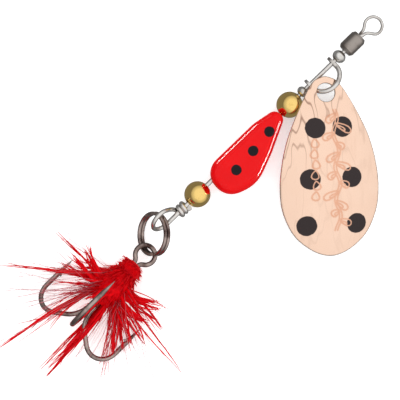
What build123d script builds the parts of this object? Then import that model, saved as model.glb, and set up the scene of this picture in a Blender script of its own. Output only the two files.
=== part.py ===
from build123d import *
import os
from math import acos, asin, atan2, cos, degrees, pi, radians, sin, sqrt, tan

# Inline spinner lying flat on a table.  +X runs along the shaft towards the line eye,
# +Z is up and the table is Z = 0.  Lengths are millimetres and angles are degrees.

os.makedirs("parts", exist_ok=True)

# ---------------------------------------------------------------- driving dimensions
LINE_X = -0.18  # where the centre of the lower brass bead lies
LINE_Y = 8.29
LINE_Z = 2.8  # height of the shaft's centre line above the table

WIRE_R = 0.38  # shaft wire
BORE_R = 0.44  # hole through everything threaded on the shaft

BRASS_BEAD_R = 2.2
BRASS_BEAD_X = {"lower_brass_bead": 0.0, "upper_brass_bead": 21.42}
SPACER_BEADS = {  # centre along the shaft, half length, radius
    "lower_spacer_bead": (24.5, 0.78, 1.0),
    "upper_spacer_bead": (32.95, 0.98, 1.17),
}

BODY_HALF_THICK = LINE_Z
BODY_RIM = 1.2  # rounded rim between the flat sides and the edge
BODY_CORNERS = [  # along the shaft, to the side of it, and how far each corner is rounded
    (3.32, 1.96, 3.1),
    (2.9, -3.87, 3.4),
    (8.27, -5.81, 6.5),
    (13.76, -3.64, 9.0),
    (19.46, -0.87, 1.35),
    (18.91, 1.15, 1.38),
    (14.9, 1.91, 7.8),
]

LOOP_X = -7.2  # centre of the wire loop behind the wraps
LOOP_R = 1.9
LOOP_TILT = 65.84  # the loop leans up from the table by this much
WRAP_START_X = -4.48
WRAP_R = 0.78
WRAP_PITCH = 0.775
WRAP_TURNS = 2.49

BARREL_X = (34.25, 37.83)  # ends of the swivel barrel
BARREL_R = 1.42
BARREL_SHOULDER = (0.45, 0.3)  # along the barrel, and inwards
BARREL_WALL = 0.3
HEAD_R = 0.8  # upset heads that the barrel holds captive
HEAD_LENGTH = 0.45
HEAD_GAP = 0.08

EYE_WIRE_R = 0.27
EYE_TWIST_R = 0.285
EYE_TWIST_PITCH = 3.0
EYE_NECK_END_X = 38.5
EYE_CENTRE = (40.63, -0.3)
EYE_R = 1.49

BOW_X = 28.8  # centre of the stirrup clevis
BOW_HALF_WIDTH = 8 / 3
BOW_DEPTH = 3.476
BOW_WIRE_R = 0.4
BOW_RAISE = 29.38  # the clevis is swung up from the table by this much
TAB_R = 1.15
TAB_THICK = 0.45

BLADE_LENGTH = 30.0
BLADE_THICK = 0.5
BLADE_HOLE_R = 1.54
BLADE_HOLE_U = 2.65  # hole centre from the blade's top end
BLADE_LONG_R = 55.0  # radius of the cup along the blade
BLADE_CROSS_R = 22.0  # radius of the cup across the blade
BLADE_CROWN_U = 15.8  # highest point of the cup from the top end
BLADE_HOLE_AT = (27.08, -2.747, 1.396)
BLADE_SPREAD = 48.3  # angle between the blade and the shaft
BLADE_PITCH = 5.7
BLADE_ROLL = 10.6

RING_CENTRE = (-9.791, 0.35, 0.941)
RING_R = 3.42
RING_WIRE_R = 0.31
RING_PITCH = 0.66
RING_LEAN = 52.12
RING_HEADING = -45.83  # compass direction in which the ring leans up
RING_SPLIT = -82.1  # where the wire's ends lie round the ring

HOOK_EYE_AT = (-13.288, -1.177, 0.324)
HOOK_PITCH = 13.5
HOOK_ROLL = 1.2
HOOK_WIRE_R = 0.41
HOOK_BUNDLE_R = 0.479  # each shank's distance from the middle of the three
HOOK_EYE_R = 1.67
HOOK_NECK_R = 1.2
SHANK_END = 12.7  # start of the bend, from the middle of the eye
BEND_IN_R = 4.14  # bend leaving the shank
BEND_TURN = radians(60)
BEND_RUN = 2.14
BEND_OUT_R = 3.3  # bend into the point
POINT_LEG = 3.2
BARB_HALF_WIDTH = 0.16
POINT_TAPER = 2.8
PRONG_ANGLES = {"left": 210, "right": -30, "top": 90}
PRONG_TWIST = 3.7  # the bends were brazed slightly out of line with their shanks

BRAZE = (3.2, 12.2, 0.74)  # start, end and radius along the shank
BRAZE_SKIN = 0.002
THREAD = (2.5, 5.0, 1.85)  # start, end and radius along the shank
COLLAR = (5.05, 10.6, 2.5)
DRESSING_BORE_R = 0.93
TAIL_PLUME = (19.9, 2.6, 8.9, 1.45, 5)  # centre, offset, half length, radius, tilt
SIDE_PLUME = (10.3, 6.6, 4.6, 0.9, 62)
TAIL_ANGLES = (30, 150, 270)
SIDE_ANGLES = (30, 150)

# ---------------------------------------------------------------- shared planes
X, Y, Z = Vector(1, 0, 0), Vector(0, 1, 0), Vector(0, 0, 1)
LINE = Vector(LINE_X, LINE_Y, LINE_Z)
SHAFT_AXIS = Axis(LINE, X)
SHAFT_SIDE = Plane(LINE, x_dir=X, z_dir=-Y)  # profile plane, local y is up


def at(x, y=0.0, z=0.0):
    """A point given from the shaft's centre line."""
    return LINE + Vector(x, y, z)


def across(x):
    """The plane square to the shaft at one place along it."""
    return Plane(at(x), x_dir=Y, z_dir=X)


def save(piece, name):
    piece.part.label = name
    export_step(piece.part, f"parts/{name}.step")


# ---------------------------------------------------------------- shaft wire
loop_out = Y * cos(radians(LOOP_TILT)) + Z * sin(radians(LOOP_TILT))
loop_side = loop_out.cross(X)
to_wrap = Vector(WRAP_START_X - LOOP_X, -LOOP_R)
LOOP_POINTS = 6
leg_length = sqrt(to_wrap.length**2 - LOOP_R**2)
leg_angle = degrees(atan2(to_wrap.Y, to_wrap.X) + acos(LOOP_R / to_wrap.length))
full_turn = 270 - leg_angle
arc_length = radians(full_turn) * LOOP_R
arc_share = arc_length / (arc_length + leg_length)


def loop_point(turn, share):
    """A point of the loop, turned from where the shaft enters it."""
    angle = radians(-90 - turn)
    flat = X * (LOOP_X + LOOP_R * cos(angle)) + loop_out * (LOOP_R * (1 + sin(angle)))
    return LINE + flat + loop_side * (WRAP_R * share)


turns = [full_turn * k / LOOP_POINTS for k in range(LOOP_POINTS + 1)]
loop_points = [loop_point(turn, arc_share * turn / full_turn) for turn in turns]
wrap_plane = Plane(at(WRAP_START_X), x_dir=loop_side, z_dir=X)
wraps = wrap_plane.location * Helix(
    WRAP_PITCH, WRAP_PITCH * WRAP_TURNS, WRAP_R, lefthand=True, mode=Mode.PRIVATE
)
head_x = BARREL_X[0] + BARREL_WALL + HEAD_GAP

with BuildPart() as shaft_wire:
    with BuildLine() as shaft_route:
        Line(at(head_x), at(LOOP_X))
        Spline(
            loop_points + [wraps @ 0], tangents=(-X, wraps % 0), tangent_scalars=(1, 1)
        )
        add(wraps)
    with BuildSketch(Plane(at(head_x), x_dir=Y, z_dir=-X)):
        Circle(WIRE_R)
    sweep()
    with BuildSketch(across(head_x)):
        Circle(HEAD_R)
    extrude(amount=HEAD_LENGTH)
save(shaft_wire, "shaft_wire")

# ---------------------------------------------------------------- beads
def bead(x, half_length, radius):
    """A round bead turned about the shaft, with its bore left open."""
    with BuildPart() as made:
        with BuildSketch(SHAFT_SIDE):
            with Locations((x, 0)):
                Ellipse(half_length, radius)
            with Locations((x, BORE_R)):
                Rectangle(3 * radius, 3 * radius, align=(Align.CENTER, Align.MAX), mode=Mode.SUBTRACT)
        revolve(axis=SHAFT_AXIS)
    return made


for bead_name, bead_x in BRASS_BEAD_X.items():
    save(bead(bead_x, BRASS_BEAD_R, BRASS_BEAD_R), bead_name)
for bead_name, bead_size in SPACER_BEADS.items():
    save(bead(*bead_size), bead_name)

# ---------------------------------------------------------------- body
with BuildPart() as lure_body:
    with BuildSketch(Plane.XY):
        with BuildLine(Plane(at(0, 0, -LINE_Z))):
            corners = [(x, y) for x, y, _ in BODY_CORNERS]
            FilletPolyline(corners, radius=[corner[2] for corner in BODY_CORNERS], close=True)
        make_face()
    extrude(amount=2 * BODY_HALF_THICK)
    rims = lure_body.edges().group_by(Axis.Z)
    fillet(rims[0] + rims[-1], BODY_RIM)
    with BuildSketch(across(0)):
        Circle(BORE_R)
    extrude(amount=BRASS_BEAD_X["upper_brass_bead"], mode=Mode.SUBTRACT)
save(lure_body, "lure_body")

# ---------------------------------------------------------------- swivel
barrel_start, barrel_end = BARREL_X
shoulder_length, shoulder_drop = BARREL_SHOULDER
cavity_r = BARREL_R - BARREL_WALL
neck_hole_r = EYE_TWIST_R + EYE_WIRE_R + 0.06

with BuildPart() as swivel_barrel:
    with BuildSketch(SHAFT_SIDE):
        with BuildLine():
            Polyline(
                (barrel_start, BORE_R),
                (barrel_start, BARREL_R - shoulder_drop),
                (barrel_start + shoulder_length, BARREL_R),
                (barrel_end - shoulder_length, BARREL_R),
                (barrel_end, BARREL_R - shoulder_drop),
                (barrel_end, neck_hole_r),
                (barrel_end - BARREL_WALL, neck_hole_r),
                (barrel_end - BARREL_WALL, cavity_r),
                (barrel_start + BARREL_WALL, cavity_r),
                (barrel_start + BARREL_WALL, BORE_R),
                close=True,
            )
        make_face()
    revolve(axis=SHAFT_AXIS)
save(swivel_barrel, "swivel_barrel")

twist_start_x = barrel_end - BARREL_WALL - HEAD_GAP - HEAD_LENGTH
twist_turns = (EYE_NECK_END_X - twist_start_x) / EYE_TWIST_PITCH


def strand(half_turn):
    """One of the two twisted strands of the neck, ending on +Y or -Y."""
    start = radians(half_turn - 360 * twist_turns)
    plane = Plane(at(twist_start_x), x_dir=Y * cos(start) + Z * sin(start), z_dir=X)
    height = EYE_NECK_END_X - twist_start_x
    return plane.location * Helix(EYE_TWIST_PITCH, height, EYE_TWIST_R, mode=Mode.PRIVATE)


strand_up, strand_down = strand(0), strand(180)
eye_angles = (110, 55, 0, -55, -110)
eye_points = [
    at(EYE_CENTRE[0] + EYE_R * cos(radians(a)), EYE_CENTRE[1] + EYE_R * sin(radians(a)))
    for a in eye_angles
]

with BuildPart() as line_eye:
    with BuildLine():
        add(strand_up)
        ends = (strand_up % 1, -(strand_down % 1))
        Spline(
            [strand_up @ 1] + eye_points + [strand_down @ 1],
            tangents=ends,
            tangent_scalars=(1.4, 1.4),
        )
        add(strand_down)
    with BuildSketch(Plane(strand_up @ 0, z_dir=strand_up % 0)):
        Circle(EYE_WIRE_R)
    sweep()
    with BuildSketch(across(twist_start_x)):
        Circle(HEAD_R)
    extrude(amount=HEAD_LENGTH)
save(line_eye, "line_eye")

# ---------------------------------------------------------------- clevis
bow_out = Z * sin(radians(BOW_RAISE)) - Y * cos(radians(BOW_RAISE))
bow_plane = Plane(at(BOW_X), x_dir=X, z_dir=X.cross(bow_out))  # local y is outwards
bow_root = BORE_R + 0.1
bow_straight = BOW_DEPTH - BOW_HALF_WIDTH

with BuildPart() as clevis:
    with BuildLine(bow_plane):
        first_leg = Line((-BOW_HALF_WIDTH, bow_root), (-BOW_HALF_WIDTH, bow_straight))
        CenterArc((0, bow_straight), BOW_HALF_WIDTH, 180, -180)
        Line((BOW_HALF_WIDTH, bow_straight), (BOW_HALF_WIDTH, bow_root))
    with BuildSketch(Plane(first_leg @ 0, z_dir=bow_out)):
        Circle(BOW_WIRE_R)
    sweep()
    for side in (-1, 1):
        with BuildSketch(across(BOW_X + side * BOW_HALF_WIDTH - TAB_THICK / 2)):
            Circle(TAB_R)
        extrude(amount=TAB_THICK)
    with BuildSketch(across(BOW_X - 2 * BOW_HALF_WIDTH)):
        Circle(BORE_R)
    extrude(amount=4 * BOW_HALF_WIDTH, mode=Mode.SUBTRACT)
save(clevis, "clevis")

# ---------------------------------------------------------------- blade
spread, pitch, roll = (radians(a) for a in (BLADE_SPREAD, BLADE_PITCH, BLADE_ROLL))
level_run = -X * cos(spread) - Y * sin(spread)
level_side = X * sin(spread) - Y * cos(spread)
blade_run = level_run * cos(pitch) - Z * sin(pitch)
blade_lift = Z * cos(pitch) + level_run * sin(pitch)
blade_side = level_side * cos(roll) - blade_lift * sin(roll)
blade_up = blade_lift * cos(roll) + level_side * sin(roll)
hole_drop = (BLADE_CROWN_U - BLADE_HOLE_U) ** 2 / (2 * BLADE_LONG_R)
blade_origin = at(*BLADE_HOLE_AT) - blade_run * BLADE_HOLE_U + blade_up * hole_drop
blade_face = Plane(blade_origin, x_dir=blade_run, z_dir=blade_up)
blade_section = Plane(blade_origin, x_dir=blade_run, z_dir=-blade_side)
cup_axis = Axis(blade_origin - blade_up * BLADE_CROSS_R, blade_run)
cup_start, cup_end = -2.0, BLADE_LENGTH + 2.0


def cup_arc(radius):
    """One face of the sheet along the blade's middle line."""
    centre = (BLADE_CROWN_U, -BLADE_LONG_R)
    start = 90 + degrees(asin((BLADE_CROWN_U - cup_start) / radius))
    end = 90 - degrees(asin((cup_end - BLADE_CROWN_U) / radius))
    return CenterArc(centre, radius, start, end - start)


with BuildPart() as blade:
    with BuildSketch(blade_section):
        with BuildLine():
            top_arc = cup_arc(BLADE_LONG_R + BLADE_THICK / 2)
            low_arc = cup_arc(BLADE_LONG_R - BLADE_THICK / 2)
            Line(top_arc @ 0, low_arc @ 0)
            Line(top_arc @ 1, low_arc @ 1)
        make_face()
    revolve(axis=cup_axis)
    with BuildSketch(blade_face.offset(-6)):
        with BuildLine():
            Spline(
                (0, 0),
                (1.9, 2.87),
                (7.33, 5.75),
                (17.6, 8.42),
                (26.3, 6.27),
                (BLADE_LENGTH, 0),
                tangents=((0, 1), (0, -1)),
                tangent_scalars=(1, 1),
            )
            mirror(about=Plane.XZ)
        make_face()
        with Locations((BLADE_HOLE_U, 0)):
            Circle(BLADE_HOLE_R, mode=Mode.SUBTRACT)
    extrude(amount=8, mode=Mode.INTERSECT)
save(blade, "blade")

# ---------------------------------------------------------------- split ring
heading, lean = radians(RING_HEADING), radians(RING_LEAN)
ring_level = X * cos(heading) + Y * sin(heading)
ring_across = Z.cross(ring_level)
ring_high = ring_level * cos(lean) + Z * sin(lean)
ring_normal = ring_high.cross(ring_across)
split = radians(RING_SPLIT)
ring_start = ring_high * cos(split) + ring_across * sin(split)
ring_plane = Plane(
    at(*RING_CENTRE) - ring_normal * RING_PITCH, x_dir=ring_start, z_dir=ring_normal
)
ring_coil = ring_plane.location * Helix(RING_PITCH, 2 * RING_PITCH, RING_R, mode=Mode.PRIVATE)

with BuildPart() as split_ring:
    with BuildLine():
        add(ring_coil)
    with BuildSketch(Plane(ring_coil @ 0, z_dir=ring_coil % 0)):
        Circle(RING_WIRE_R)
    sweep()
save(split_ring, "split_ring")

# ---------------------------------------------------------------- treble hook
hook_pitch, hook_roll = radians(HOOK_PITCH), radians(HOOK_ROLL)
shank = Z * sin(hook_pitch) - X * cos(hook_pitch)
level_up = X * sin(hook_pitch) + Z * cos(hook_pitch)
hook_up = level_up * cos(hook_roll) - Y * sin(hook_roll)
hook_side = hook_up.cross(shank)
eye_sink = HOOK_BUNDLE_R / 2
shank_gap = HOOK_BUNDLE_R * cos(radians(30))
hook_axis_start = at(*HOOK_EYE_AT) + hook_up * eye_sink
eye_plane = Plane(at(*HOOK_EYE_AT), x_dir=shank, z_dir=hook_up)
hook_axis = Axis(hook_axis_start, shank)
neck_x = sqrt((HOOK_EYE_R + HOOK_NECK_R) ** 2 - (shank_gap + HOOK_NECK_R) ** 2)
neck_angle = degrees(atan2(shank_gap + HOOK_NECK_R, neck_x))


def gap_plane(angle):
    """The plane through the shank's middle line, with local y pointing out at an angle."""
    out = hook_side * cos(radians(angle)) + hook_up * sin(radians(angle))
    return Plane(hook_axis_start, x_dir=shank, z_dir=shank.cross(out))


def prong(angle, shank_start):
    """Shank, bend, point and barb of one hook."""
    shank_line = gap_plane(angle).from_local_coords(Vector(0, HOOK_BUNDLE_R))
    plane = Plane(shank_line, x_dir=shank, z_dir=gap_plane(angle + PRONG_TWIST).z_dir)
    first_corner = SHANK_END + BEND_IN_R * tan(BEND_TURN / 2)
    climb = BEND_IN_R * tan(BEND_TURN / 2) + BEND_RUN + BEND_OUT_R * tan(pi / 2 - BEND_TURN / 2)
    far = first_corner + climb * cos(BEND_TURN)
    height = climb * sin(BEND_TURN)
    leg_end = far - BEND_OUT_R * tan(pi / 2 - BEND_TURN / 2) - POINT_LEG
    with BuildPart() as made:
        with BuildLine(plane):
            FilletPolyline(
                (shank_start, 0),
                (first_corner, 0),
                (far, height),
                (leg_end, height),
                radius=(BEND_IN_R, BEND_OUT_R),
            )
        with BuildSketch(Plane(shank_line + shank * shank_start, z_dir=shank)):
            Circle(HOOK_WIRE_R)
        sweep()
        with Locations(Plane(plane.from_local_coords(Vector(leg_end, height)), z_dir=-shank)):
            Cone(HOOK_WIRE_R, 0.04, POINT_TAPER, align=(Align.CENTER, Align.CENTER, Align.MIN))
        with BuildSketch(plane):
            with Locations((leg_end, height - HOOK_WIRE_R)):
                Polygon((-0.5, 0.25), (0.75, -0.38), (0.6, 0.25), align=None)
        extrude(amount=BARB_HALF_WIDTH, both=True)
    return made


left_prong = prong(PRONG_ANGLES["left"], neck_x)
right_prong = prong(PRONG_ANGLES["right"], neck_x)
single_hook = prong(PRONG_ANGLES["top"], neck_x + 0.2)
save(single_hook, "single_hook")

with BuildPart() as double_hook:
    with BuildLine(eye_plane):
        neck_centre = shank_gap + HOOK_NECK_R
        CenterArc((neck_x, neck_centre), HOOK_NECK_R, -90, neck_angle - 90)
        CenterArc((0, 0), HOOK_EYE_R, neck_angle, 360 - 2 * neck_angle)
        CenterArc((neck_x, -neck_centre), HOOK_NECK_R, 180 - neck_angle, neck_angle - 90)
    with BuildSketch(Plane(eye_plane.from_local_coords((neck_x, shank_gap)), z_dir=shank)):
        Circle(HOOK_WIRE_R)
    sweep()
    add(left_prong.part)
    add(right_prong.part)
save(double_hook, "double_hook")

# ---------------------------------------------------------------- braze and dressing
with BuildPart() as braze_seam:
    with BuildSketch(Plane(hook_axis_start + shank * BRAZE[0], x_dir=hook_side, z_dir=shank)):
        Circle(BRAZE[2])
        with PolarLocations(HOOK_BUNDLE_R, 3, start_angle=PRONG_ANGLES["top"]):
            Circle(HOOK_WIRE_R + BRAZE_SKIN, mode=Mode.SUBTRACT)
    extrude(amount=BRAZE[1] - BRAZE[0])
save(braze_seam, "braze_seam")


def winding(start, end, radius, name):
    """A barrel-shaped wad wound round the three shanks."""
    swell = radius - DRESSING_BORE_R
    with BuildPart() as made:
        with BuildSketch(gap_plane(TAIL_ANGLES[0])):
            with BuildLine():
                low = Line((start, DRESSING_BORE_R), (end, DRESSING_BORE_R))
                top_middle = ((start + end) / 2, radius)
                Spline(
                    low @ 0,
                    (start + 0.25 * (end - start), DRESSING_BORE_R + 0.93 * swell),
                    top_middle,
                    (start + 0.75 * (end - start), DRESSING_BORE_R + 0.93 * swell),
                    low @ 1,
                )
            make_face()
        revolve(axis=hook_axis)
    save(made, name)


def plume(angle, shape, name):
    """A feather's soft volume: a slim spindle in the gap between two hooks."""
    along, offset, half_length, radius, tilt = shape
    gap = gap_plane(angle)
    spine = gap.x_dir * cos(radians(tilt)) + gap.y_dir * sin(radians(tilt))
    plane = Plane(gap.from_local_coords(Vector(along, offset)), x_dir=spine, z_dir=gap.z_dir)
    with BuildPart() as made:
        with BuildSketch(plane):
            Ellipse(half_length, radius)
            Rectangle(
                2 * half_length, 2 * radius, align=(Align.CENTER, Align.MAX), mode=Mode.SUBTRACT
            )
        revolve(axis=Axis(plane.origin, spine))
    save(made, name)


winding(*THREAD, "thread_head")
winding(*COLLAR, "hackle_collar")
for number, angle in enumerate(TAIL_ANGLES, 1):
    plume(angle, TAIL_PLUME, f"tail_plume_{number}")
for number, angle in enumerate(SIDE_ANGLES, 1):
    plume(angle, SIDE_PLUME, f"side_plume_{number}")
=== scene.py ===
import math
import random

import bpy
import numpy as np
from mathutils import Matrix, Vector, noise


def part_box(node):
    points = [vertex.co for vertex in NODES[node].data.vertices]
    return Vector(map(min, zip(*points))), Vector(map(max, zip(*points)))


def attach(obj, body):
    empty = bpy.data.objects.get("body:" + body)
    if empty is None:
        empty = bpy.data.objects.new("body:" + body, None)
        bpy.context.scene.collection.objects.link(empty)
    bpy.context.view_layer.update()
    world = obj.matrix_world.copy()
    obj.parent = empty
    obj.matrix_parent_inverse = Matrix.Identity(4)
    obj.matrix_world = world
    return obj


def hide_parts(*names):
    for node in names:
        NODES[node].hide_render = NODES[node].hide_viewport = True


# The lure lies flat: +X runs along the shaft to the line eye, +Z is up.
# Sizes below are in millimetres and are turned into metres by MM.
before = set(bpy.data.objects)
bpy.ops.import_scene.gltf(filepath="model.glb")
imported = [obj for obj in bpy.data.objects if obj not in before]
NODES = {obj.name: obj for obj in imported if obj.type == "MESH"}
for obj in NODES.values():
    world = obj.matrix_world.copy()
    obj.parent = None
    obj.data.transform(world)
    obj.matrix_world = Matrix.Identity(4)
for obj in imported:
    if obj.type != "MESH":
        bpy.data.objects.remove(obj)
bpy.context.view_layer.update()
MM = 0.001


def middle(node):
    low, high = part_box(node)
    return (Vector(low) + Vector(high)) / 2 / MM


LINE = middle("lower_brass_bead")  # the shaft's centre line, x = 0


# ---------------------------------------------------------------- material helpers
class Graph:
    """A small helper that builds one node material."""

    def __init__(self, name):
        self.material = bpy.data.materials.new(name)
        self.material.use_nodes = True
        self.tree = self.material.node_tree
        self.tree.nodes.clear()
        self.output = self.tree.nodes.new("ShaderNodeOutputMaterial")
        self.shader = self.tree.nodes.new("ShaderNodeBsdfPrincipled")
        self.tree.links.new(self.shader.outputs[0], self.output.inputs[0])
        self.object = self.add("TexCoord").outputs["Object"]

    def plug(self, socket, value):
        if isinstance(value, bpy.types.NodeSocket):
            self.tree.links.new(value, socket)
        else:
            socket.default_value = value

    def add(self, kind, settings=None, **inputs):
        node = self.tree.nodes.new("ShaderNode" + kind)
        for key, value in (settings or {}).items():
            setattr(node, key, value)
        for key, value in inputs.items():
            self.plug(node.inputs[key.replace("_", " ")], value)
        return node

    def math(self, operation, *values, clamp=False):
        node = self.add("Math", {"operation": operation, "use_clamp": clamp})
        for socket, value in zip(node.inputs, values):
            self.plug(socket, value)
        return node.outputs[0]

    def noise(self, scale, detail, vector=None, rough=0.55):
        """Soft noise; on the object's own coordinates the scale is in lumps per metre."""
        where = vector or self.object
        return self.add("TexNoise", Scale=scale, Detail=detail, Roughness=rough, Vector=where).outputs[0]

    def stretch(self, vector, factors, turn=(0, 0, 0)):
        return self.add("Mapping", Vector=vector, Scale=factors, Rotation=turn).outputs[0]

    def remap(self, value, low, high, start=0.0, end=1.0):
        """Turns the range low..high into start..end, and holds the ends."""
        node = self.add("MapRange", Value=value)
        for key, number in zip(("From Min", "From Max", "To Min", "To Max"), (low, high, start, end)):
            node.inputs[key].default_value = number
        return node.outputs[0]

    def mix(self, factor, first, second):
        node = self.add("Mix", {"data_type": "RGBA"})
        self.plug(node.inputs[0], factor)
        self.plug(node.inputs[6], first)
        self.plug(node.inputs[7], second)
        return node.outputs[2]

    def dots(self, x, y, centres, radius, fade, wobble):
        """A mask that is 1 inside round printed dots; wobble makes their edges uneven."""
        mask = None
        for centre_x, centre_y in centres:
            dx = self.math("SUBTRACT", x, centre_x)
            dy = self.math("SUBTRACT", y, centre_y)
            squares = self.math("ADD", self.math("MULTIPLY", dx, dx), self.math("MULTIPLY", dy, dy))
            away = self.math("ADD", self.math("SQRT", squares), wobble)
            inside = self.remap(away, radius - fade, radius + fade, 1.0, 0.0)
            mask = inside if mask is None else self.math("MAXIMUM", mask, inside)
        return mask

    def set(self, **values):
        for key, value in values.items():
            self.plug(self.shader.inputs[key.replace("_", " ")], value)

    def bump(self, height, distance, strength):
        node = self.add("Bump", Height=height, Distance=distance, Strength=strength)
        self.plug(self.shader.inputs["Normal"], node.outputs[0])


def rgb(red, green, blue):
    return (red, green, blue, 1.0)


def metal(name, clean, tarnish, rough, tarnish_at=(0.52, 0.75), scratch=1.0):
    """Plated or bare metal with fine scratches, patchy tarnish and uneven polish."""
    g = Graph(name)
    patches = g.noise(420, 5)
    fine = g.noise(5200, 3)
    hairlines = g.noise(2600, 2, g.stretch(g.object, (0.12, 1.0, 1.0)))
    dirt = g.remap(patches, *tarnish_at)
    g.set(Base_Color=g.mix(dirt, clean, tarnish), Metallic=1.0)
    uneven = g.math("MULTIPLY_ADD", fine, 0.10, rough - 0.05)
    g.set(Roughness=g.math("MULTIPLY_ADD", dirt, 0.16, uneven))
    height = g.math("MULTIPLY_ADD", hairlines, 0.6, g.math("MULTIPLY", fine, 0.4))
    g.bump(height, 0.012 * MM * scratch, 0.55)
    return g.material


bright_wire = metal("bright_wire_metal", rgb(0.74, 0.71, 0.68), rgb(0.34, 0.30, 0.27), 0.22, scratch=0.5)
bright_bead = metal("bright_bead_metal", rgb(0.82, 0.80, 0.77), rgb(0.50, 0.47, 0.43), 0.12, scratch=0.5)
grey_nickel = metal("grey_nickel_metal", rgb(0.36, 0.32, 0.29), rgb(0.17, 0.14, 0.12), 0.30)
gold_bead = metal(
    "gold_bead_metal", rgb(0.93, 0.65, 0.22), rgb(0.60, 0.33, 0.08), 0.10, tarnish_at=(0.58, 0.9), scratch=0.5
)
black_nickel = metal(
    "black_nickel_metal", rgb(0.44, 0.35, 0.32), rgb(0.08, 0.045, 0.04), 0.18, (0.46, 0.70), scratch=0.6
)
braze_metal = metal("braze_metal", rgb(0.32, 0.27, 0.22), rgb(0.16, 0.12, 0.10), 0.40, scratch=2.5)

BODY_DOTS = ((7.43, -1.60), (11.63, -1.29), (15.77, -0.87))  # from the shaft's line
BODY_DOT_R = 0.88
DOT_FADE = 0.04  # half the width of a printed dot's soft edge


def enamel():
    """Red gloss enamel with three printed dots on each flat side."""
    g = Graph("red_enamel_paint")
    mottle = g.noise(260, 3)
    base = g.mix(mottle, rgb(0.62, 0.0012, 0.003), rgb(0.76, 0.003, 0.005))
    wobble = g.math("MULTIPLY_ADD", g.noise(900, 2), 0.16 * MM, -0.08 * MM)
    place = g.add("SeparateXYZ", Vector=g.object)
    centres = [((LINE.x + x) * MM, (LINE.y + y) * MM) for x, y in BODY_DOTS]
    mask = g.dots(place.outputs[0], place.outputs[1], centres, BODY_DOT_R * MM, DOT_FADE * MM, wobble)
    g.set(Base_Color=g.mix(mask, base, rgb(0.008, 0.006, 0.008)))
    g.set(Roughness=g.math("MULTIPLY_ADD", g.noise(3000, 3), 0.08, 0.09))
    g.set(Specular_IOR_Level=0.14, IOR=1.5)
    peel = g.math("ADD", g.noise(700, 2), g.math("MULTIPLY", mask, 0.9))
    g.bump(peel, 0.03 * MM, 0.35)
    return g.material


red_enamel = enamel()
FINISHES = {
    "line_eye": bright_wire,
    "shaft_wire": bright_wire,
    "clevis": bright_wire,
    "swivel_barrel": grey_nickel,
    "upper_spacer_bead": bright_bead,
    "lower_spacer_bead": bright_bead,
    "upper_brass_bead": gold_bead,
    "lower_brass_bead": gold_bead,
    "lure_body": red_enamel,
    "split_ring": black_nickel,
    "double_hook": black_nickel,
    "single_hook": black_nickel,
    "braze_seam": braze_metal,
}
for node, material in FINISHES.items():
    for slot in NODES[node].material_slots:
        slot.material = material


# ---------------------------------------------------------------- mesh helpers
def make_mesh(name, points, faces, material, smooth=True):
    mesh = bpy.data.meshes.new(name)
    mesh.from_pydata([tuple(p) for p in points], [], [tuple(f) for f in faces])
    mesh.validate()
    mesh.materials.append(material)
    if smooth:
        mesh.polygons.foreach_set("use_smooth", [True] * len(mesh.polygons))
    mesh.update()
    piece = bpy.data.objects.new(name, mesh)
    bpy.context.scene.collection.objects.link(piece)
    return piece


def stands_for(piece, body, slot, *nodes):
    """Makes a new piece follow a body, and replace the CAD nodes that it stands for."""
    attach(piece, body)
    if nodes:
        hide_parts(*nodes)


# ---------------------------------------------------------------- blade
BLADE_LENGTH = 30.0
BLADE_THICK = 0.5
OUTLINE_POINTS = 260  # on each half of the outline
GRID_STEP = 0.125  # spacing of the sheet's points
HOLE_AT = np.array((2.65, 0.0))  # place along and across the blade
HOLE_R = 1.54
HOLE_RIM = 0.6  # grid points this near the hole's edge belong to it
CUP_ALONG, CUP_ACROSS = 55.0, 22.0  # the two radii of the cup
CROWN_AT = np.array((15.8, 0.0))
HALF_WIDTHS = (  # place along the blade, and half its width there
    (0.0, 0.0), (0.33, 1.17), (0.67, 1.83), (1.9, 2.87), (4.17, 4.17), (7.33, 5.75),
    (10.33, 7.0), (13.83, 7.92), (17.6, 8.42), (21.17, 8.28), (23.83, 7.55),
    (26.4, 6.19), (28.2, 4.35), (29.5, 2.2), (30.0, 0.0),
)
WIDEST = 8.7  # just past the blade's half width
DOTS = ((8.42, -2.29), (8.42, 2.29), (16.83, -3.53), (16.83, 3.53), (24.63, -4.22), (24.63, 4.22))
DOT_R = 1.7
STAMP_HEIGHT = 0.035
STROKE_REACH = 0.2  # half the width of a stamped line
RIM_ROUND = 0.12  # how far the sheet's square edge is cut back, through its thickness
RIM_DRAW = 0.09  # and in its own plane

# how the blade lies: its turn away from the shaft, its slope along and its slope across
spread, pitch, roll = math.radians(48.3), math.radians(5.7), math.radians(10.6)
level_run = Vector((-math.cos(spread), -math.sin(spread), 0))
level_side = Vector((math.sin(spread), -math.cos(spread), 0))
blade_run = level_run * math.cos(pitch) - Vector((0, 0, math.sin(pitch)))
blade_lift = Vector((0, 0, math.cos(pitch))) + level_run * math.sin(pitch)
blade_side = level_side * math.cos(roll) - blade_lift * math.sin(roll)
blade_up = blade_lift * math.cos(roll) + level_side * math.sin(roll)
hole_centre = LINE + Vector((27.08, -2.747, 1.396))
hole_drop = (CROWN_AT[0] - HOLE_AT[0]) ** 2 / (2 * CUP_ALONG)
blade_origin = hole_centre - blade_run * HOLE_AT[0] + blade_up * hole_drop


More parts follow.
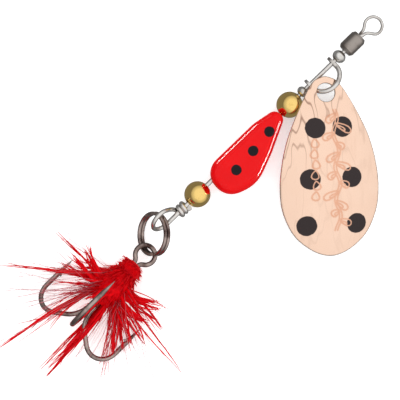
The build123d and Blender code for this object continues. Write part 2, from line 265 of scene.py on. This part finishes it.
def smooth_outline(steps):
    """Half the blade's outline as a dense, smooth line of points, from the top end to the tip."""
    known = np.array(HALF_WIDTHS)
    chord = np.concatenate([[0], np.cumsum(np.hypot(*np.diff(known, axis=0).T))])
    outline = []
    for value in np.linspace(0, chord[-1], steps):
        k = min(np.searchsorted(chord, value, side="right") - 1, len(known) - 2)
        span = chord[k + 1] - chord[k]
        t = (value - chord[k]) / span
        before = known[k - 1] if k > 0 else known[1] * (1, -1)
        after = known[k + 2] if k + 2 < len(known) else known[-2] * (1, -1)
        leaving = (known[k + 1] - before) / (1 + np.hypot(*(known[k] - before)) / span)
        arriving = (after - known[k]) / (1 + np.hypot(*(after - known[k + 1])) / span)
        weights = (2 * t**3 - 3 * t**2 + 1, t**3 - 2 * t**2 + t, -2 * t**3 + 3 * t**2, t**3 - t**2)
        parts = (known[k], leaving, known[k + 1], arriving)
        outline.append(sum(weight * part for weight, part in zip(weights, parts)))
    return np.array(outline)


def cup_height(u, v):
    """Height of the middle of the sheet above the blade's own plane."""
    along = np.sqrt(CUP_ALONG**2 - (u - CROWN_AT[0]) ** 2) - CUP_ALONG
    return np.sqrt((CUP_ACROSS + along) ** 2 - v**2) - CUP_ACROSS


def cup_normals(u, v):
    nudge = 0.01
    slope_u = (cup_height(u + nudge, v) - cup_height(u - nudge, v)) / (2 * nudge)
    slope_v = (cup_height(u, v + nudge) - cup_height(u, v - nudge)) / (2 * nudge)
    normal = np.stack([-slope_u, -slope_v, np.ones(len(u))], 1)
    return normal / np.linalg.norm(normal, axis=1)[:, None]


def ripple(u, v):
    """Slight waves in the stamped sheet, stronger towards the hole."""
    broad = noise.noise(Vector((u * 0.12, v * 0.5, 3.1))) * 0.034
    fine = noise.noise(Vector((u * 0.4, v * 0.8, 7.7))) * 0.05
    return broad + fine * max(0, 1 - u / 13)


def leaf_outline(u, v, heading, length, width):
    """A closed teardrop that starts on the stem."""
    turn = math.radians(heading)
    sides = 12
    points = []
    for k in range(sides + 1):
        t = 2 * math.pi * k / sides
        along = length * (1 - math.cos(t)) / 2
        side = width * math.sin(t) * (0.35 + 0.65 * along / length)  # narrow at the stem
        point_u = u + along * math.cos(turn) - side * math.sin(turn)
        point_v = v + along * math.sin(turn) + side * math.cos(turn)
        points.append((point_u, point_v))
    return points


def stem_v(u):
    """Where the vine's stem runs, across the blade."""
    return 1.05 + 0.4 * math.sin(1.15 * u)


def vine_strokes():
    """A generic vine: a wavy stem with outlined leaves, and a short row of rings beside it."""
    stem = np.arange(5.6, 25.8, 0.4)
    strokes = [[(u, stem_v(u) + gap) for u in stem] for gap in (-0.22, 0.22)]
    for k in range(12):
        u = 6.2 + 1.6 * k
        reach = 2.2 + 0.7 * math.sin(1.7 * k)
        heading = (52 + 6 * (k % 3)) * (1 if k % 2 else -1)
        strokes.append(leaf_outline(u, stem_v(u), heading, reach, 0.75))
        strokes.append(leaf_outline(u + 0.3, stem_v(u), heading, 0.6 * reach, 0.3))
    for k in range(6):
        u = 10.2 + 1.75 * k
        strokes.append(leaf_outline(u, -2.6, 8 * (-1) ** k, 1.45, 0.85))
    return strokes


def distance_to_line(points, line):
    """Distance from each point to a bent line."""
    best = np.full(len(points), 1e9)
    for a, b in zip(line[:-1], line[1:]):
        a, b = np.array(a), np.array(b)
        t = np.clip(((points - a) @ (b - a)) / ((b - a) @ (b - a)), 0, 1)
        best = np.minimum(best, np.hypot(*(points - a - t[:, None] * (b - a)).T))
    return best


def stamp_strength(points):
    """1 on a stamped line, falling to 0 beside it."""
    stamp = np.zeros(len(points))
    for stroke in vine_strokes():
        away = distance_to_line(points, stroke)
        stamp = np.maximum(stamp, np.clip(1 - (away / STROKE_REACH) ** 2, 0, 1))
    return stamp


def sheet_cells(half):
    """The grid's points inside the outline and outside the hole, and the cells between them."""
    us = np.arange(-GRID_STEP, BLADE_LENGTH + 2 * GRID_STEP, GRID_STEP)
    vs = np.arange(-WIDEST, WIDEST + GRID_STEP, GRID_STEP)
    grid = np.array([(u, v) for u in us for v in vs])
    width = np.interp(grid[:, 0], half[:, 0], half[:, 1], left=-1, right=-1)
    inside = (np.abs(grid[:, 1]) < width) & (np.hypot(*(grid - HOLE_AT).T) > HOLE_R)
    across = len(vs)
    cells = []
    for i in range(len(us) - 1):
        for j in range(across - 1):
            near, far = i * across + j, (i + 1) * across + j
            corners = (near, far, far + 1, near + 1)
            if sum(inside[c] for c in corners) >= 3:
                cells.append(corners)
    used = np.unique(np.array(cells))
    index = {old: new for new, old in enumerate(used)}
    return grid[used], [[index[c] for c in cell] for cell in cells]


def rim_edges(cells):
    """The edges that only one cell has."""
    edges = dict.fromkeys((a, b) for cell in cells for a, b in zip(cell, cell[1:] + cell[:1]))
    return [(a, b) for a, b in edges if (b, a) not in edges]


def snap_to_rim(points, rim_points, half):
    """Moves the sheet's edge points onto the hole's edge or the outline."""
    outline = np.vstack([half, half[-2::-1] * (1, -1)])
    starts, spans = outline[:-1], np.diff(outline, axis=0)
    for k in rim_points:
        from_hole = points[k] - HOLE_AT
        away = np.hypot(*from_hole)
        if away < HOLE_R + HOLE_RIM:
            points[k] = HOLE_AT + from_hole / away * HOLE_R
            continue
        t = np.clip(np.sum((points[k] - starts) * spans, 1) / np.sum(spans**2, 1), 0, 1)
        on_outline = starts + t[:, None] * spans
        points[k] = on_outline[np.argmin(np.hypot(*(on_outline - points[k]).T))]


def inward_from_rim(point):
    """Direction from the sheet's edge into the sheet."""
    from_hole = point - HOLE_AT
    if np.hypot(*from_hole) < HOLE_R + HOLE_RIM:
        inward = from_hole / HOLE_R
    else:
        inward = (CROWN_AT - point) / np.hypot(*(CROWN_AT - point))
    return np.array((inward[0], inward[1], 0))


def blade_mesh():
    """The cupped sheet with a rounded rim: points, faces, flat places and the stamp's strength."""
    half = smooth_outline(OUTLINE_POINTS)
    points, cells = sheet_cells(half)
    rim = rim_edges(cells)
    rim_points = sorted({k for edge in rim for k in edge})
    snap_to_rim(points, rim_points, half)
    stamp = stamp_strength(points)
    u, v = points.T
    waves = np.array([ripple(*point) for point in points])
    sheet = np.stack([u, v, cup_height(u, v) + waves + STAMP_HEIGHT * stamp], 1)
    normal = cup_normals(u, v)
    top = sheet + normal * BLADE_THICK / 2
    low = sheet - normal * BLADE_THICK / 2
    # the rim is rounded: the sheet's edge rows draw in and a belt between them stands proud
    count = len(points)
    belt, extra = {}, []
    for n, k in enumerate(rim_points):
        belt[k] = (2 * count + 2 * n, 2 * count + 2 * n + 1)
        extra += [top[k] - normal[k] * RIM_ROUND, low[k] + normal[k] * RIM_ROUND]
        draw_in = inward_from_rim(points[k]) * RIM_DRAW
        top[k] += draw_in
        low[k] += draw_in
    faces = [tuple(cell) for cell in cells]
    faces += [tuple(count + c for c in reversed(cell)) for cell in cells]
    for a, b in rim:
        faces.append((b, a, belt[a][0], belt[b][0]))
        faces.append((belt[b][0], belt[a][0], belt[a][1], belt[b][1]))
        faces.append((belt[b][1], belt[a][1], count + a, count + b))
    axes = np.array([blade_run, blade_side, blade_up])
    world = (np.vstack([top, low, extra]) @ axes + np.array(blade_origin)) * MM
    flat = np.vstack([points, points, [points[k] for k in rim_points for _ in range(2)]])
    return world, faces, flat, np.concatenate([stamp, stamp, np.zeros(len(extra))])


SHEET_UV = 0.01  # the blade's UV map: this much per millimetre, with the middle line at V_MIDDLE
V_MIDDLE = 0.5


def copper():
    """Polished copper plate: tarnish streaks, brown lines painted in as reflections of the sheet's dents, six
    printed dots, worn stamping.
    """
    g = Graph("copper_blade_metal")
    sheet = g.add("UVMap", {"uv_map": "sheet"}).outputs[0]
    stamp = g.add("Attribute", {"attribute_name": "stamp"}).outputs["Fac"]
    place = g.add("SeparateXYZ", Vector=sheet)
    along, across = place.outputs[0], place.outputs[1]

    clean = g.mix(g.noise(240, 4), rgb(0.90, 0.62, 0.47), rgb(0.96, 0.70, 0.55))
    streaks = g.noise(1.0, 5, g.stretch(sheet, (6.0, 26.0, 1.0)))
    dull = g.remap(streaks, 0.62, 0.80)
    aged = g.mix(g.math("MULTIPLY", dull, 0.55), clean, rgb(0.60, 0.33, 0.22))

    # the painted reflection lines are brown wavy lines that stand in for reflections in the sheet's dents;
    # they follow two levels of one soft noise, strongest near the hole and the left edge
    folds = g.noise(1.0, 3, g.stretch(sheet, (3.6, 13.0, 1.0)), 0.6)
    first = g.math("ABSOLUTE", g.math("SUBTRACT", folds, 0.5))
    second = g.math("ABSOLUTE", g.math("SUBTRACT", folds, 0.58))
    reflection_lines = g.math("MAXIMUM", g.remap(first, 0.002, 0.014, 1.0, 0.0), g.remap(second, 0.001, 0.010, 1.0, 0.0))
    near_top = g.remap(along, 0.03, 0.17, 1.0, 0.12)
    near_left = g.remap(across, 0.43, 0.53, 1.0, 0.25)
    painted_reflection = g.math("MULTIPLY", reflection_lines, g.math("MULTIPLY", near_top, near_left), clamp=True)
    # painted reflection: the dark brown lines are mixed into the copper's colour here
    with_painted_reflection = g.mix(painted_reflection, aged, rgb(0.14, 0.04, 0.015))
    rubbed = g.mix(g.math("MULTIPLY", stamp, 0.6), with_painted_reflection, rgb(0.72, 0.27, 0.13))

    wobble = g.math("MULTIPLY_ADD", g.noise(1500, 2), 0.16 * SHEET_UV, -0.08 * SHEET_UV)
    centres = [(u * SHEET_UV, V_MIDDLE + v * SHEET_UV) for u, v in DOTS]
    mask = g.dots(along, across, centres, DOT_R * SHEET_UV, DOT_FADE * SHEET_UV, wobble)
    paint = g.math("MULTIPLY", mask, g.remap(stamp, 0.55, 0.85, 1.0, 0.12))
    g.set(Base_Color=g.mix(paint, rubbed, rgb(0.022, 0.014, 0.014)))
    g.set(Metallic=g.math("SUBTRACT", 1.0, paint), Specular_IOR_Level=0.25)

    shine = g.math("MULTIPLY_ADD", g.noise(2400, 3), 0.08, 0.07)
    worn = g.math("MULTIPLY_ADD", stamp, 0.12, g.math("MULTIPLY_ADD", dull, 0.1, shine))
    g.set(Roughness=g.math("MULTIPLY_ADD", paint, 0.25, worn))
    scratches = g.noise(2200, 2, g.stretch(g.object, (1.0, 0.2, 1.0), (0, 0, 0.8)))
    g.bump(g.math("MULTIPLY_ADD", paint, 1.2, scratches), 0.01 * MM, 0.4)
    return g.material


copper_blade = copper()
blade_points, blade_faces, blade_flat, blade_stamp = blade_mesh()
blade = make_mesh("spinner_blade", blade_points, blade_faces, copper_blade)
layer = blade.data.uv_layers.new(name="sheet")
loop_points = np.empty(len(blade.data.loops), dtype=np.int32)
blade.data.loops.foreach_get("vertex_index", loop_points)
uv = blade_flat[loop_points] * SHEET_UV + np.array((0.0, V_MIDDLE))
layer.data.foreach_set("uv", uv.astype(np.float32).ravel())
marks = blade.data.attributes.new("stamp", "FLOAT", "POINT")
marks.data.foreach_set("value", blade_stamp.astype(np.float32))
stands_for(blade, "blade", "copper_blade", "blade")


# ---------------------------------------------------------------- feathers
HOOK_EYE = LINE + Vector((-13.288, -1.177, 0.324))
hook_pitch, hook_roll = math.radians(13.5), math.radians(1.2)  # how the treble lies on its bends
SHANK = Vector((-math.cos(hook_pitch), 0, math.sin(hook_pitch)))
level_up = Vector((math.sin(hook_pitch), 0, math.cos(hook_pitch)))
UP = level_up * math.cos(hook_roll) - Vector((0, math.sin(hook_roll), 0))
SIDE = UP.cross(SHANK)
AXIS_START = HOOK_EYE + UP * 0.24  # the middle of the three shanks
TUNNEL_R = 0.93  # the hole through the dressing, round the three shanks
# how near the table a fibre's surface, a fibre's middle, a strand's middle and a tip may come
SKIN_FLOOR, FIBRE_FLOOR, STRAND_FLOOR, TIP_FLOOR = 0.03, 0.12, 0.2, 0.4
FRAYS = 3  # loose fibres at the edges of a strand
SLIMMING = 0.7  # how a fibre's thickness falls along it: under 1 keeps it full for longer


def shank_point(along, angle=0.0, radius=0.0):
    """A point round the treble's shank: angle 90 is up, 0 is to the side."""
    turn = math.radians(angle)
    return AXIS_START + SHANK * along + (SIDE * math.cos(turn) + UP * math.sin(turn)) * radius


def dyed(name, deep, bright, pale, pale_from):
    """Dyed fibre: a streaky mix of deep and bright red, some fibres brighter than others, paler at the tip.
    """
    g = Graph(name)
    run = g.add("Attribute", {"attribute_name": "run"}).outputs["Fac"]
    shade = g.add("Attribute", {"attribute_name": "shade"}).outputs["Fac"]
    streak = g.noise(1500, 4, rough=0.7)
    body = g.mix(g.remap(streak, 0.3, 0.7), deep, bright)
    lit = g.mix(g.math("MULTIPLY", shade, 0.5), body, bright)
    tip = g.remap(run, pale_from, 1.0)
    fade = g.math("MULTIPLY", tip, g.math("MULTIPLY_ADD", shade, 0.6, 0.1), clamp=True)
    g.set(Base_Color=g.mix(fade, lit, pale), Specular_IOR_Level=0.07)
    g.set(Roughness=g.math("MULTIPLY_ADD", shade, 0.2, 0.5))
    g.bump(g.noise(9000, 2), 0.01 * MM, 0.4)
    return g.material


red_feather = dyed(
    "red_feather", rgb(0.42, 0.0, 0.002), rgb(0.76, 0.001, 0.005), rgb(0.70, 0.02, 0.04), 0.6
)
pale_feather = dyed(
    "pale_feather", rgb(0.50, 0.05, 0.07), rgb(0.50, 0.16, 0.19), rgb(0.46, 0.34, 0.36), 0.1
)


class Fibres:
    """Collects tapering fibres and turns them into one mesh."""

    def __init__(self):
        self.points, self.faces, self.run, self.shade = [], [], [], []

    def add(self, path, thick, shade, taper=0.12, sides=3):
        """One fibre along a path; taper is the share of its thickness that is left at the tip."""
        base = len(self.points)
        last = len(path) - 1
        for k, point in enumerate(path):
            ahead = path[min(k + 1, last)] - path[max(k - 1, 0)]
            forward = ahead.normalized()
            side = forward.cross(Vector((0.3, 0.5, 0.81))).normalized()
            other = forward.cross(side)
            share = k / last
            radius = thick * (taper + (1 - taper) * (1 - share) ** SLIMMING)
            for n in range(sides):
                turn = 2 * math.pi * n / sides
                spot = point + (side * math.cos(turn) + other * math.sin(turn)) * radius
                spot.z = max(spot.z, SKIN_FLOOR)
                self.points.append(spot * MM)
                self.run.append(share)
                self.shade.append(shade)
            if k:
                for n in range(sides):
                    m = (n + 1) % sides
                    low, high = base + (k - 1) * sides, base + k * sides
                    self.faces.append((low + n, low + m, high + m, high + n))
        self.faces.append(tuple(base + n for n in reversed(range(sides))))
        self.faces.append(tuple(base + last * sides + n for n in range(sides)))

    def add_closed(self, points, faces, run, shade):
        """Adds a ready-made closed body, in millimetres."""
        base = len(self.points)
        self.points += [point * MM for point in points]
        self.faces += [tuple(base + k for k in face) for face in faces]
        self.run += [run] * len(points)
        self.shade += [shade] * len(points)

    def build(self, name, material):
        piece = make_mesh(name, self.points, self.faces, material)
        for key, values in (("run", self.run), ("shade", self.shade)):
            data = piece.data.attributes.new(key, "FLOAT", "POINT")
            data.data.foreach_set("value", np.array(values, dtype=np.float32))
        return piece


def any_way(rng, spread=1.0):
    """A random offset in any direction."""
    return Vector([rng.gauss(0, spread) for _ in range(3)])


def bow(start, end, rng, steps, wave, lift=0.0):
    """A lightly curved and wavy path between two points, raised in its middle."""
    span = end - start
    side = span.cross(Vector([rng.uniform(-1, 1) for _ in range(3)])).normalized()
    phase = rng.uniform(0, 6.28)
    wave *= min(1, span.length / 12)
    path = []
    for k in range(steps):
        t = k / (steps - 1)
        point = start + span * t + Vector((0, 0, lift * 4 * t * (1 - t)))
        point = point + side * (wave * t * math.sin(phase + 5.5 * t))
        point.z = max(point.z, FIBRE_FLOOR)
        path.append(point)
    return path


def radial(along, angle, lean, length, root):
    """Start and end of a fibre that leaves the shank at an angle, leaning back."""
    start = shank_point(along, angle, root)
    outward = shank_point(along, angle, root + 1) - start
    tilt = math.radians(lean)
    return start, start + (SHANK * math.cos(tilt) + outward * math.sin(tilt)) * length


def scattered(rng, along, angle, lean, length, root):
    """A radial start and end, with each measure drawn from its range."""
    return radial(rng.uniform(*along), rng.uniform(*angle), rng.uniform(*lean), rng.uniform(*length), root)


def add_wad(fibres, start, end, radius, seed):
    """The packed fibres round the shanks: a lumpy closed tube with a round bore."""
    rings, around = 26, 40
    angles = [360 * j / around for j in range(around)]
    points, faces = [], []
    for i in range(rings + 1):
        t = i / rings
        along = start + (end - start) * t
        swell = math.sin(math.pi * min(max(t, 0.02), 0.98)) ** 0.55
        for angle in angles:
            turn = math.radians(angle)
            place = Vector((along * 1.3, math.cos(turn) * 1.6, math.sin(turn) * 1.6 + seed))
            lump = 1 + 0.16 * noise.noise(place) + 0.07 * noise.noise(place * 3.1)
            points.append(shank_point(along, angle, TUNNEL_R + (radius - TUNNEL_R) * swell * lump))
    for along in (start, end):
        points += [shank_point(along, angle, TUNNEL_R) for angle in angles]
    for i in range(rings):
        for j in range(around):
            a, b = i * around + j, i * around + (j + 1) % around
            faces.append((a, b, b + around, a + around))
    last, first, second = rings * around, (rings + 1) * around, (rings + 2) * around
    for j in range(around):
        m = (j + 1) % around
        faces.append((m, j, first + j, first + m))
        faces.append((last + j, last + m, second + m, second + j))
        faces.append((first + m, first + j, second + j, second + m))
    fibres.add_closed(points, faces, run=0.2, shade=0.5)


def strand(fibres, rng, start, bend, end, thick):
    """Fibres stuck together: one tapering point, bent through a place, with a few frayed edges."""
    steps = 16
    pull = bend * 2 - (start + end) / 2
    shiver = Vector([rng.uniform(-0.12, 0.12) for _ in range(3)])
    path = []
    for k in range(steps + 1):
        t = k / steps
        point = start * (1 - t) ** 2 + pull * (2 * t * (1 - t)) + end * t**2
        point = point + shiver * math.sin(9 * t)
        point.z = max(point.z, STRAND_FLOOR)
        path.append(point)
    fibres.add(path, thick, rng.random(), 0.08, sides=6)
    length = (end - start).length
    for _ in range(FRAYS):
        k = rng.randrange(2, steps - 4)
        forward = (path[k + 3] - path[k]).normalized()
        off = any_way(rng)
        off.z *= 0.4
        drift = rng.uniform(0.05, 0.16)
        run = min(length * (1 - k / steps), rng.uniform(3, 7))
        stop = path[k] + forward * run + off * drift * run
        fray = bow(path[k], stop, rng, 8, 0.2)
        fibres.add(fray, thick * rng.uniform(0.2, 0.4), rng.random())


def bundle(fibres, rng, end, thick, copies, spread):
    """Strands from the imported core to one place, given from the shaft's line and the table."""
    along = rng.uniform(6.0, 9.5)
    goal = Vector((LINE.x + end[0], LINE.y + end[1], end[2]))
    for _ in range(copies):
        aim = goal + any_way(rng, 0.4 * spread)
        foot = shank_point(along + rng.uniform(-0.8, 0.8))
        flat = aim - foot
        flat = (flat - SHANK * flat.dot(SHANK)).normalized()
        start = foot + flat * 1.2
        shift = Vector((rng.uniform(-0.5, 0.5), rng.uniform(-0.5, 0.5), 0.6))
        bend = (start + aim) / 2 + shift + flat * 0.5
        strand(fibres, rng, start, bend, aim, 1.5 * thick * rng.uniform(0.7, 1.15))


def hackle_core(rng):
    """Packed fibres round the shanks, from the head to the start of the bends."""
    core = Fibres()
    add_wad(core, 4.4, 11.4, 2.45, 0.0)
    for _ in range(420):
        begin, stop = scattered(rng, (4.6, 10.4), (0, 360), (12, 50), (1.2, 3.0), 2.1)
        path = bow(begin, stop, rng, 6, 0.25)
        core.add(path, rng.uniform(0.06, 0.16), rng.random())
    for _ in range(16):
        begin, stop = scattered(rng, (5, 10), (0, 360), (22, 80), (3.5, 6.5), 1.6)
        stop.z = max(stop.z, TIP_FLOOR)
        bend = (begin + stop) / 2 + Vector((0, 0, 0.3))
        strand(core, rng, begin, bend, stop, rng.uniform(0.22, 0.42))
    return core.build("hackle_fibres", red_feather)


def wound_head(rng):
    """Two layers of wound thread, there and back, under short fluff."""
    start, end = 2.35, 5.1
    head = Fibres()
    add_wad(head, start, end, 1.85, 4.0)
    for turns, forwards in ((17, True), (9, False)):
        steps = turns * 22
        path = []
        for k in range(steps + 1):
            t = k / steps
            along = 2.6 + 2.2 * (t if forwards else 1 - t)
            swell = math.sin(math.pi * (along - start) / (end - start)) ** 0.55
            path.append(shank_point(along, 360 * turns * t, 0.98 + 0.92 * swell))
        head.add(path, 0.09, 0.5, 0.95)
    for _ in range(260):
        begin, stop = scattered(rng, (2.5, 5.2), (0, 360), (20, 110), (0.5, 1.2), 1.75)
        path = bow(begin, stop, rng, 4, 0.2)
        head.add(path, rng.uniform(0.05, 0.15), rng.random())
    return head.build("wound_thread", red_feather)


def plume(node, strands, rng):
    """The strands that stand for one soft volume of the CAD."""
    fibres = Fibres()
    for end, thick, copies, spread in strands:
        bundle(fibres, rng, end, thick, copies, spread)
    return fibres.build(node + "_fibres", red_feather)


DOWN_RIGHT, DOWN_LEFT = 24, 18  # how far the down reaches to each side of the shaft's line


def pale_down(rng):
    """Thin pale down that stands clear of the rest."""
    roots = (5.5, 10.5)
    wisps = Fibres()
    for k in range(84):
        sideways = rng.uniform(-50, 35) + (180 if k % 2 else 0)
        begin, stop = radial(rng.uniform(*roots), sideways, rng.uniform(8, 95), rng.uniform(10, 20), 1.9)
        stop.z = max(stop.z, TIP_FLOOR)
        stop.y = min(max(stop.y, LINE.y - DOWN_RIGHT), LINE.y + DOWN_LEFT)
        path = bow(begin, stop, rng, 10, 0.8, lift=rng.uniform(0, 1))
        wisps.add(path, rng.uniform(0.026, 0.042), rng.random(), 0.5)
    for _ in range(14):
        begin, stop = scattered(rng, roots, (140, 220), (20, 60), (17, 23), 0.9)
        stop.z = max(stop.z, TIP_FLOOR)
        path = bow(begin, stop, rng, 12, 1.0, lift=1.0)
        wisps.add(path, rng.uniform(0.03, 0.045), rng.random(), 0.5)
    return wisps.build("pale_wisps", pale_feather)


# Each strand: where it ends (from the shaft's line, and height above the table), how thick it is,
# how many lie together and how far they part.
PLUMES = {
    "tail_plume_1": [
        ((-39.0, -4.1, 5.0), 0.26, 3, 0.5),
        ((-38.0, -3.3, 6.0), 0.22, 3, 0.4),
        ((-39.6, -2.4, 6.5), 0.16, 2, 0.3),
        ((-34.0, -3.2, 7.0), 0.24, 3, 0.6),
        ((-30.0, -3.0, 8.0), 0.24, 4, 0.8),
        ((-27.5, -1.4, 9.5), 0.2, 3, 0.8),
    ],
    "tail_plume_2": [
        ((-41.0, 4.7, 7.0), 0.2, 4, 0.35),
        ((-33.0, 0.8, 8.0), 0.14, 2, 0.5),
        ((-32.0, 4.2, 7.0), 0.1, 2, 0.6),
        ((-27.3, 6.2, 6.5), 0.1, 2, 0.5),
        ((-31.0, 2.6, 5.0), 0.12, 2, 0.8),
        ((-36.5, 3.2, 4.0), 0.06, 2, 0.8),
        ((-42.0, 3.4, 5.0), 0.08, 1, 0.3),
    ],
    "tail_plume_3": [
        ((-28.8, -9.2, 4.5), 0.3, 4, 0.35),
        ((-28.6, -7.0, 3.0), 0.12, 2, 0.25),
        ((-27.0, -9.6, 3.0), 0.22, 3, 0.5),
        ((-25.4, -10.2, 3.6), 0.22, 3, 0.6),
        ((-31.0, -9.0, 2.0), 0.12, 3, 0.8),
        ((-33.5, -11.1, 2.0), 0.07, 3, 0.7),
    ],
    "side_plume_1": [
        ((-20.0, -12.1, 4.0), 0.24, 3, 0.35),
        ((-22.6, -19.6, 3.0), 0.17, 2, 0.5),
        ((-17.7, -9.2, 6.0), 0.22, 3, 0.4),
        ((-17.0, -7.9, 6.5), 0.2, 3, 0.4),
        ((-23.6, -11.4, 3.5), 0.2, 3, 0.5),
        ((-21.0, -9.0, 5.0), 0.26, 4, 0.6),
        ((-19.4, -10.6, 3.0), 0.16, 2, 0.5),
        ((-16.6, -10.4, 5.0), 0.08, 2, 0.4),
    ],
    "side_plume_2": [
        ((-21.0, 11.7, 6.0), 0.15, 2, 0.3),
        ((-19.8, 6.3, 7.0), 0.22, 3, 0.35),
        ((-18.6, 5.9, 7.0), 0.18, 2, 0.3),
        ((-25.9, 7.6, 7.5), 0.24, 3, 0.3),
        ((-31.6, 14.4, 7.0), 0.15, 2, 0.25),
        ((-24.0, 7.4, 5.0), 0.2, 2, 0.5),
        ((-21.6, 7.0, 8.5), 0.2, 3, 0.5),
        ((-23.0, 4.6, 6.0), 0.22, 3, 0.6),
    ],
}

core_rng = random.Random(11)  # the core and the head share one run of draws
stands_for(hackle_core(core_rng), "treble", "red_hackle", "hackle_collar")
stands_for(wound_head(core_rng), "treble", "red_thread", "thread_head")
for seed, (node, strands) in enumerate(PLUMES.items(), 40):
    stands_for(plume(node, strands, random.Random(seed)), "treble", "red_hackle", node)
stands_for(pale_down(random.Random(77)), "treble", "red_hackle")


# ---------------------------------------------------------------- floor, light and camera
# the floor and the lamps are placed in metres
FLOOR_HALF = 2
paper = Graph("floor_paper")
paper.set(Base_Color=rgb(0.93, 0.93, 0.93), Roughness=0.9, Specular_IOR_Level=0.1)
paper.set(Emission_Color=rgb(1.0, 1.0, 1.0), Emission_Strength=0.4)
floor_corners = [(x * FLOOR_HALF, y * FLOOR_HALF, 0) for x, y in ((-1, -1), (1, -1), (1, 1), (-1, 1))]
floor = make_mesh("floor", floor_corners, [(0, 1, 2, 3)], paper.material, smooth=False)
floor.visible_glossy = False


def studio_sky(lean, heading, stops):
    """A dome whose brightness depends on the angle from its leaning centre."""
    world = bpy.data.worlds.new("studio")
    world.use_nodes = True
    bpy.context.scene.world = world
    tree = world.node_tree
    background = tree.nodes["Background"]
    coords = tree.nodes.new("ShaderNodeTexCoord")
    nearness = tree.nodes.new("ShaderNodeVectorMath")
    nearness.operation = "DOT_PRODUCT"
    out = math.sin(lean)
    nearness.inputs[1].default_value = (out * math.cos(heading), out * math.sin(heading), math.cos(lean))
    ramp = tree.nodes.new("ShaderNodeValToRGB")
    elements = ramp.color_ramp.elements
    elements[0].position, elements[1].position = stops[0][0], stops[-1][0]
    for position, _ in stops[1:-1]:
        elements.new(position)
    for element, (position, grey) in zip(elements, stops):
        element.position = position
        element.color = (grey, grey, grey, 1)
    tree.links.new(coords.outputs["Generated"], nearness.inputs[0])
    tree.links.new(nearness.outputs["Value"], ramp.inputs[0])
    tree.links.new(ramp.outputs[0], background.inputs[0])
    background.inputs[1].default_value = 1.0


def area_light(name, place, size, power, glossy):
    """A square lamp aimed at the lure; it either lights surfaces or only shows in their gloss."""
    data = bpy.data.lights.new(name, "AREA")
    data.shape = "SQUARE"
    data.size = size
    data.energy = power
    lamp = bpy.data.objects.new(name, data)
    bpy.context.scene.collection.objects.link(lamp)
    lamp.location = place
    lamp.rotation_mode = "QUATERNION"
    lamp.rotation_quaternion = (-Vector(place)).to_track_quat("-Z", "Y")
    lamp.visible_glossy = glossy
    lamp.visible_diffuse = not glossy
    lamp.visible_camera = False
    return lamp


SKY_STOPS = (  # nearness to the dome's centre, and brightness
    (0.0, 0.24), (0.05, 0.16), (0.16, 0.42), (0.36, 0.68), (0.56, 0.82), (0.66, 1.0), (1.0, 1.06),
)
studio_sky(math.radians(24), math.radians(-44), SKY_STOPS)
area_light("overhead", (0.05, 0.1, 0.9), 1.4, 6.0, glossy=False)
# the glint lamps are seen only in the painted body's gloss
glints = (
    area_light("back_glint", (0.03, 0.50, 0.16), 0.14, 4.5, glossy=True),
    area_light("front_glint", (0.20, -0.46, 0.15), 0.16, 6.5, glossy=True),
)
painted = bpy.data.collections.new("painted_only")
painted.objects.link(NODES["lure_body"])
for lamp in glints:
    lamp.light_linking.receiver_collection = painted

VIEW_WIDTH = 66.7 * MM  # what the picture shows from side to side
DISTANCE = 360 * MM
SENSOR = 36
camera_turn = math.radians(-44.2115)  # from +X to the picture's right
right = Vector((math.cos(camera_turn), math.sin(camera_turn), 0))
up = Vector((-math.sin(camera_turn), math.cos(camera_turn), 0))
camera_data = bpy.data.cameras.new("camera")
camera_data.sensor_width = SENSOR
camera_data.lens = SENSOR * DISTANCE / VIEW_WIDTH
camera_data.clip_start = 0.01
camera = bpy.data.objects.new("camera", camera_data)
bpy.context.scene.collection.objects.link(camera)
target = (LINE + Vector((-0.35, -0.98, 0))) * MM  # the picture's middle
camera.location = target + Vector((0, 0, DISTANCE))
camera.rotation_mode = "QUATERNION"
camera.rotation_quaternion = Matrix((right, up, (0, 0, 1))).transposed().to_quaternion()
bpy.context.scene.camera = camera
bpy.context.scene.view_settings.view_transform = "Standard"
